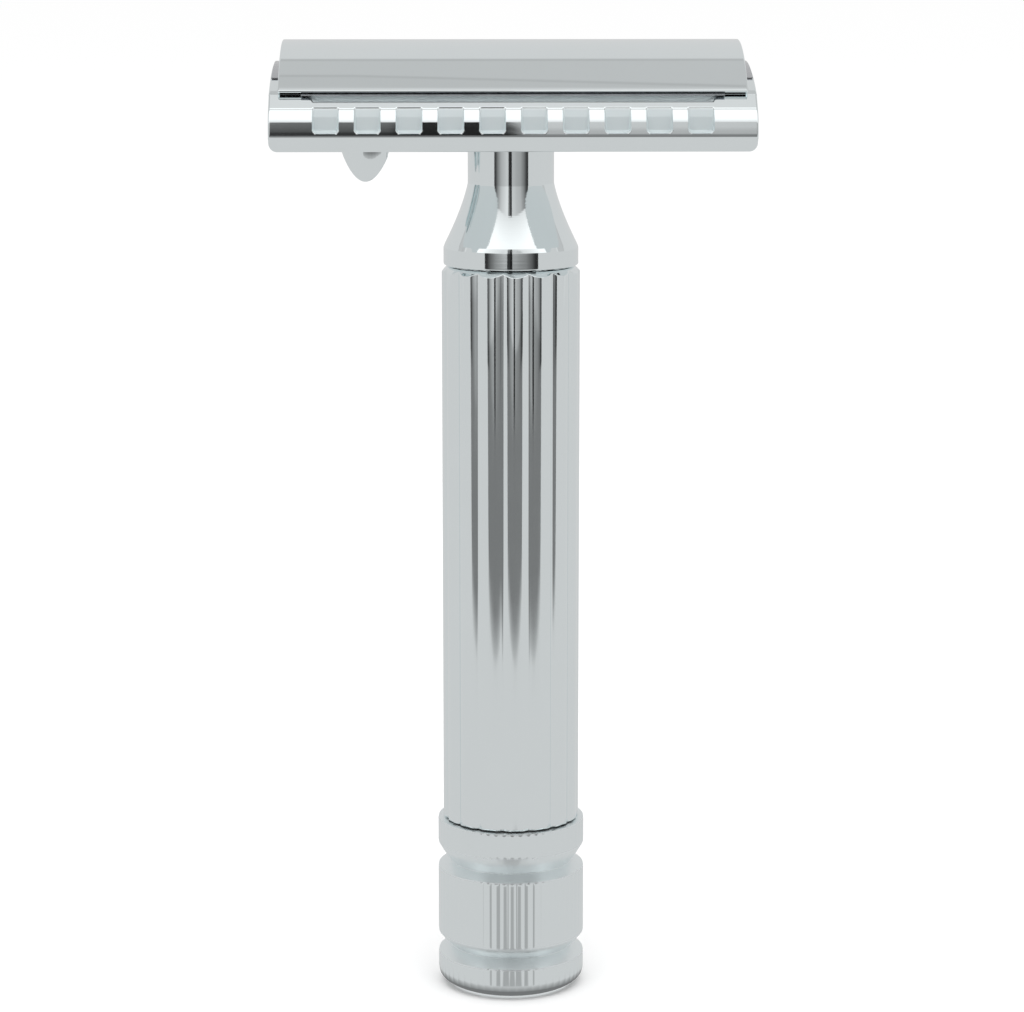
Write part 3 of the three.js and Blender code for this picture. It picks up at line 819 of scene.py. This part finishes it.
class RAZOR_OT_cap_stud(bpy.types.Operator):
    """Make the threaded stud under the cap"""

    bl_idname = "razor.cap_stud"
    bl_label = "Cap Stud"

    def execute(self, context):
        pitch = context.scene.razor_sizes.thread_pitch / MM
        low, high = (c.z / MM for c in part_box("cap_stud"))
        stud = new_piece("stud_thread", *threaded_rod(1.95, 0.34, pitch, low, high, 0.5), sharp=60.0)
        steel = tuple(context.scene.razor_colours.steel)
        finish = steel_finish("steel_thread", steel, ROUND_ABOUT, 1e-6, 0.2)
        place(stud, "cap_assembly", ["cap_stud"], finish)
        return {"FINISHED"}


class RAZOR_OT_base_plate(bpy.types.Operator):
    """Make the base plate with its two scalloped guards"""

    bl_idname = "razor.base_plate"
    bl_label = "Base Plate"

    def execute(self, context):
        sizes = context.scene.razor_sizes
        plate = new_piece("guard_plate", *plate_surface(sizes), 50.0)
        slots = []
        for side in (-1, 1):
            outline = lug_outline(12.4, 2.5, 0.9, 124.0) * [side, 1]
            slots.append(new_piece("slot", *prism(outline, 78.0, 90.0)))
        seat = np.array([[0.0, 78.0], [3.75, 78.0], [3.75, 84.3], [2.4, 84.3], [2.4, 90.0], [0.0, 90.0]])
        slots.append(new_piece("neck_seat", turned(seat, 96), grid_faces(6, 96, wrap_columns=True)))
        carve(plate, slots, sharp=50.0)
        store_wear(plate, plate_wear(sizes))
        finish = chrome("chrome_plate", ACROSS, satin=0.75)
        place(plate, "handle", ["base_plate"], finish)
        return {"FINISHED"}


class RAZOR_OT_neck(bpy.types.Operator):
    """Make the neck: spigot, stem, flare, shoulder and tail"""

    bl_idname = "razor.neck"
    bl_label = "Neck"

    def execute(self, context):
        profile = neck_profile()
        points = turned(profile, 160)
        neck = new_piece("neck_turned", points, grid_faces(len(profile), 160, wrap_rows=True, wrap_columns=True))
        finish = chrome("chrome_neck", ROUND_ABOUT, 1.4e-6)
        place(neck, "handle", ["neck"], finish)
        return {"FINISHED"}


class RAZOR_OT_barrel(bpy.types.Operator):
    """Make the reeded barrel"""

    bl_idname = "razor.barrel"
    bl_label = "Barrel"

    def execute(self, context):
        sizes = context.scene.razor_sizes
        outline = reeded(sizes.reeds, BARREL_RADIUS, sizes.reed_radius / MM, sizes.reed_turn, 0.03)
        profile = barrel_profile(4.3, 0.5)
        columns = sizes.reeds * 26
        points = turned(profile, columns, outline, 0.035)
        faces = grid_faces(len(profile), columns, wrap_rows=True, wrap_columns=True)
        barrel = new_piece("barrel_reeded", points, faces, 45.0)
        place(barrel, "handle", ["barrel"], chrome("chrome_barrel", UPRIGHT, 1.2e-6, 0.05))
        return {"FINISHED"}


class RAZOR_OT_knob(bpy.types.Operator):
    """Make the fluted knob with its two V grooves"""

    bl_idname = "razor.knob"
    bl_label = "Knob"

    def execute(self, context):
        sizes = context.scene.razor_sizes
        outline = reeded(sizes.flutes, KNOB_RADIUS, sizes.flute_radius / MM, 0.0, 0.012)
        profile = knob_profile()
        columns = sizes.flutes * 10
        rims = np.array([z for low, _, high in KNOB_GROOVES for z in (low, high)] + [16.25])
        share = smooth_step((np.abs(profile[:, 1:] - rims[None, :]).min(1) + 0.06) / 0.3)
        points = turned(profile, columns, outline, 0.02, 6.84, share)
        knob = new_piece("knob_fluted", points, grid_faces(len(profile), columns, wrap_columns=True), 45.0)
        store_wear(knob, knob_wear(rims))
        place(knob, "drive", ["knob"], chrome("chrome_knob", UPRIGHT, 5e-7, satin=0.3))
        return {"FINISHED"}


class RAZOR_OT_inner_parts(bpy.types.Operator):
    """Finish the pieces inside the handle and the blade"""

    bl_idname = "razor.inner_parts"
    bl_label = "Inner Parts"

    def execute(self, context):
        colours = context.scene.razor_colours
        steel = steel_finish("steel_turned", tuple(colours.steel), ROUND_ABOUT, 1.5e-6)
        spring = steel_finish("steel_spring", tuple(colours.steel), (2600.0, 2600.0, 2600.0), 1e-6, 0.3)
        blade = steel_finish("steel_ground", tuple(colours.steel), (2600.0, 90.0, 90.0), 6e-7, 0.16)
        brass = steel_finish("brass_turned", tuple(colours.brass), ROUND_ABOUT, 1.5e-6, 0.25)
        rubber = rubber_finish("rubber_seal", tuple(colours.rubber))
        finishes = {
            "drive_rod": steel,
            "socket_pin": steel,
            "thrust_washer": steel,
            "spring_washer": spring,
            "retaining_clip": spring,
            "blade": blade,
            "upper_bush": brass,
            "lower_bush": brass,
            "threaded_socket": brass,
            "seal_ring": rubber,
        }
        for node, finish in finishes.items():
            refinish(node, finish)
        return {"FINISHED"}


class Glow(Finish):
    """An even light whose strength is worked out from the place on the surface."""

    def __init__(self, name):
        super().__init__(name)
        self.nodes.remove(self.shader)
        self.light = self.nodes.new("ShaderNodeEmission")
        self.links.new(self.light.outputs["Emission"], self.nodes["Material Output"].inputs["Surface"])
        split = self.nodes.new("ShaderNodeSeparateXYZ")
        self.links.new(self.place, split.inputs["Vector"])
        self.x, self.y, self.z = split.outputs

    def curve(self, value, stops):
        """A value turned into another through straight lines between the stops given."""
        peak = max(level for _, level in stops)
        low, span = stops[0][0], stops[-1][0] - stops[0][0]
        node = self.nodes.new("ShaderNodeFloatCurve")
        self.links.new(self.ranged(value, 0.0, 1.0, low, low + span), node.inputs["Value"])
        line = node.mapping.curves[0]
        for index, (at, level) in enumerate(stops):
            spot = ((at - low) / span, level / peak)
            if index in (0, len(stops) - 1):
                line.points[-1 if index else 0].location = spot
            else:
                line.points.new(*spot)
        for point in line.points:
            point.handle_type = "VECTOR"
        node.mapping.update()
        return self.maths("MULTIPLY", node.outputs["Value"], float(peak))

    def product(self, first, *rest):
        """Sends the product of some values to the light's strength."""
        for value in rest:
            first = self.maths("MULTIPLY", first, value)
        if isinstance(first, (int, float)):
            self.light.inputs["Strength"].default_value = first
        else:
            self.links.new(first, self.light.inputs["Strength"])
        return self.material


def unseen(name, points, faces, material):
    """A studio card or tent wall that shows only in reflections."""
    mesh = bpy.data.meshes.new(name)
    mesh.from_pydata(np.reshape(points, (-1, 3)).tolist(), [], faces.tolist())
    mesh.materials.append(material)
    piece = bpy.data.objects.new(name, mesh)
    bpy.context.scene.collection.objects.link(piece)
    piece.visible_camera = False
    piece.visible_diffuse = False
    piece.visible_transmission = False
    piece.visible_shadow = False


def card(name, corners, material):
    """A flat card with four corners."""
    unseen(name, corners, np.array([[0, 1, 2, 3]]), material)


TENT = 0.643


def tent_light():
    """The tent's walls. The angle is measured up from the front and over the top to the back. Level against
    angle: a light zone just past the top, then two greyer zones with a thin dark join after each. The first
    join leans, so its angle falls with the place to the right."""
    glow = Glow("tent_wall")
    angle = glow.maths("ARCTAN2", glow.z, glow.maths("MULTIPLY", glow.y, -1.0))
    angle = glow.maths("MULTIPLY", angle, 180.0 / math.pi)
    aside = glow.maths("MAXIMUM", glow.maths("ADD", glow.maths("MULTIPLY", glow.x, 1 / 3.0), 0.033), 0.0)
    aside = glow.maths("MINIMUM", aside, 0.15)
    leaning = glow.maths("ADD", angle, glow.maths("MULTIPLY", aside, 82.0))
    back = [(-180, 1), (95.0, 1), (96.5, 0.85), (123.8, 0.85), (124.8, 0.75), (126.6, 0.75)]
    back += [(128, 1.02), (180, 1.02)]
    join = [(0, 1), (97, 1), (99, 0.98), (106.3, 0.98), (107, 0.88), (108.4, 0.88), (109.2, 1.02), (180, 1.02)]
    light = [(0, 1), (88, 1), (90, 1.16), (95, 1.16), (96, 1), (180, 1)]
    return glow.product(glow.curve(angle, back), glow.curve(leaning, join), glow.curve(angle, light), TENT)


def floor_with_painted_shadow():
    """The floor as the chrome sees it, with painted shade: painted contact shadow, dark close under the foot, then
    level, with a greyer sector of painted shadow of the razor in front of the knob from 8 to 47 mm out."""
    glow = Glow("floor_glow_painted_shadow")
    squares = (glow.maths("POWER", value, 2.0) for value in (glow.x, glow.y))
    far = glow.maths("SQRT", glow.maths("ADD", *squares))
    side = glow.maths("ARCTAN2", glow.maths("ABSOLUTE", glow.x), glow.maths("MULTIPLY", glow.y, -1.0))
    # painted contact shadow: the floor's level falls close under the foot
    near = [(0.0, 0.25), (0.0068, 0.3), (0.0076, 0.6), (0.0088, 0.92), (0.0105, 1.0), (0.06, 1.0)]
    # painted shadow of the razor: a greyer sector in front of the knob, from 8 to 47 mm out
    along = [(0.0, 0.0), (0.008, 0.0), (0.011, 1.0), (0.042, 1.0), (0.047, 0.0), (0.08, 0.0)]
    across = [(0.0, 0.36), (0.2, 0.36), (0.34, 0.0), (1.0, 0.0)]
    painted_shadow_sector = glow.maths("MULTIPLY", glow.curve(far, along), glow.curve(side, across))
    return glow.product(glow.curve(far, near), glow.maths("SUBTRACT", 1.0, painted_shadow_sector), TENT)


def front_light(levels, heights):
    """A panel whose level is the product of a curve across it and a curve up it."""
    glow = Glow("front_glow")
    return glow.product(glow.curve(glow.x, levels), glow.curve(glow.z, heights))


class RAZOR_OT_stage(bpy.types.Operator):
    """Set the pale floor, the soft light, the tent, the cards and the camera"""

    bl_idname = "razor.stage"
    bl_label = "Stage"

    def execute(self, context):
        scene = context.scene
        scene.view_settings.view_transform = "Standard"
        world = bpy.data.worlds.new("studio")
        world.use_nodes = True
        world.node_tree.nodes["Background"].inputs["Color"].default_value = (1.02, 1.02, 1.02, 1)
        scene.world = world

        mesh = bpy.data.meshes.new("floor")
        mesh.from_pydata([(-4, -3, 0), (4, -3, 0), (4, 3, 0), (-4, 3, 0)], [], [(0, 1, 2, 3)])
        floor = bpy.data.objects.new("floor", mesh)
        scene.collection.objects.link(floor)
        paper = Finish("paper")
        grain = paper.noise(paper.place, 400.0, 3.0)
        paper.tinted(grain, *shades(tuple(scene.razor_colours.floor), 0.004))
        paper.roughness(paper.ranged(grain, 0.8, 0.9))
        paper.shader.inputs["Specular IOR Level"].default_value = 0.0
        mesh.materials.append(paper.material)
        floor.visible_glossy = False

        up = np.radians(np.linspace(-8, 90, 25))[:, None]
        round_about = np.arange(72)[None, :] * (2 * np.pi / 72)
        level, height = np.cos(up), np.sin(up) * np.ones_like(round_about)
        tent = 3.0 * np.stack([level * np.sin(round_about), level * np.cos(round_about), height], -1)
        unseen("tent", tent, grid_faces(25, 72, wrap_columns=True), tent_light())
        flat = 3.2 * np.array([(-1, -1, 0), (1, -1, 0), (1, 1, 0), (-1, 1, 0)]) + [0, 0, 0.0002]
        # the floor's level in reflections, with painted contact shadow under the foot and painted shadow of the
        # razor before the knob
        card("floor_card_painted_shadow", flat, floor_with_painted_shadow())

        y, top, edge = -0.35, 0.335, 0.362
        across = [
            (-0.362, 0.07), (-0.312, 0.05), (-0.276, 0.15), (-0.243, 0.24), (-0.214, 0.31),
            (-0.186, 0.4), (-0.161, 0.45), (-0.114, 0.52), (-0.07, 0.6), (0.012, 0.46),
            (0.047, 0.45), (0.08, 0.4), (0.161, 0.35), (0.186, 0.28), (0.214, 0.23),
            (0.243, 0.17), (0.276, 0.09), (0.312, 0.04), (0.362, 0.06),
        ]
        heights = [(0.0, 0.6), (0.028, 0.62), (0.036, 1.0), (0.1, 1.05), (0.2, 1.3), (0.335, 1.35)]
        corners = [(-edge, y, 0), (edge, y, 0), (edge, y, top), (-edge, y, top)]
        card("front_panel", corners, front_light(across, heights))
        near = y + 0.002
        grey = [(0.0, 0.03), (0.06, 0.04), (0.1, 0.09), (0.335, 0.17)]
        dark = [(0.0, 0.015), (0.335, 0.02)]
        for name, x0, x1, rise in (("flag_grey", -0.045, -0.016, grey), ("flag_dark", -0.016, 0.008, dark)):
            corners = [(x0, near, 0), (x1, near, 0), (x1, near, top), (x0, near, top)]
            card(name, corners, front_light([(-0.1, 1.0), (0.1, 1.0)], rise))
        sweep = Glow("sweep_glow")
        sweep.product(sweep.curve(sweep.y, [(-0.35, 0.2), (-0.17, 0.2), (-0.14, 0.5)]))
        low = 0.0006
        corners = [(-0.35, y, low), (0.35, y, low), (0.12, -0.142, low), (-0.12, -0.142, low)]
        card("floor_flag", corners, sweep.material)
        soft = Glow("softbox_glow")
        soft.product(soft.curve(soft.z, [(0.335, 0.8), (0.39, 1.15), (0.7, 1.2)]))
        corners = [(-0.6, y, top), (0.6, y, top), (0.6, -0.01, 0.64), (-0.6, -0.01, 0.64)]
        card("softbox", corners, soft.material)

        light = bpy.data.lights.new("soft_light", "AREA")
        light.shape = "RECTANGLE"
        light.size, light.size_y = 0.9, 0.6
        light.energy = 2.6
        lamp = bpy.data.objects.new("soft_light", light)
        lamp.location = (0.0, -0.45, 0.8)
        lamp.rotation_euler = (math.radians(32), 0, 0)
        lamp.visible_glossy = False
        scene.collection.objects.link(lamp)

        lens = bpy.data.cameras.new("camera")
        lens.lens = 115.03
        lens.sensor_width = 36.0
        lens.clip_start, lens.clip_end = 0.01, 20.0
        camera = bpy.data.objects.new("camera", lens)
        turn = math.radians(-1.1)
        offset, distance = 0.0001, 0.3
        camera.location = (
            offset * math.cos(turn) + distance * math.sin(turn),
            offset * math.sin(turn) - distance * math.cos(turn),
            0.1022,
        )
        camera.rotation_euler = (math.radians(90 - 10.6), 0, turn)
        scene.collection.objects.link(camera)
        scene.camera = camera
        return {"FINISHED"}


class RAZOR_PT_panel(bpy.types.Panel):
    """Buttons and settings for the razor"""

    bl_label = "Safety Razor"
    bl_idname = "RAZOR_PT_panel"
    bl_space_type = "VIEW_3D"
    bl_region_type = "UI"
    bl_category = "Razor"

    def draw(self, context):
        """One button for each operator, then a box for each group of settings"""
        column = self.layout.column()
        for operator in OPERATORS:
            column.operator(operator.bl_idname)
        for settings in (context.scene.razor_sizes, context.scene.razor_colours):
            box = self.layout.box()
            for name in settings.bl_rna.properties.keys():
                if name not in ("rna_type", "name"):
                    box.prop(settings, name)


OPERATORS = (
    RAZOR_OT_cap,
    RAZOR_OT_cap_stud,
    RAZOR_OT_base_plate,
    RAZOR_OT_neck,
    RAZOR_OT_barrel,
    RAZOR_OT_knob,
    RAZOR_OT_inner_parts,
    RAZOR_OT_stage,
)
CLASSES = (RazorSizes, RazorColours, *OPERATORS, RAZOR_PT_panel)


def register():
    """Registers the classes and hangs the two groups of settings on the scene."""
    for kind in CLASSES:
        bpy.utils.register_class(kind)
    bpy.types.Scene.razor_sizes = bpy.props.PointerProperty(type=RazorSizes)
    bpy.types.Scene.razor_colours = bpy.props.PointerProperty(type=RazorColours)


def unregister():
    """Takes everything that register added away again."""
    del bpy.types.Scene.razor_colours
    del bpy.types.Scene.razor_sizes
    for kind in reversed(CLASSES):
        bpy.utils.unregister_class(kind)


def main():
    register()
    bpy.ops.razor.cap()
    bpy.ops.razor.cap_stud()
    bpy.ops.razor.base_plate()
    bpy.ops.razor.neck()
    bpy.ops.razor.barrel()
    bpy.ops.razor.knob()
    bpy.ops.razor.inner_parts()
    bpy.ops.razor.stage()


if __name__ == "__main__":
    main()
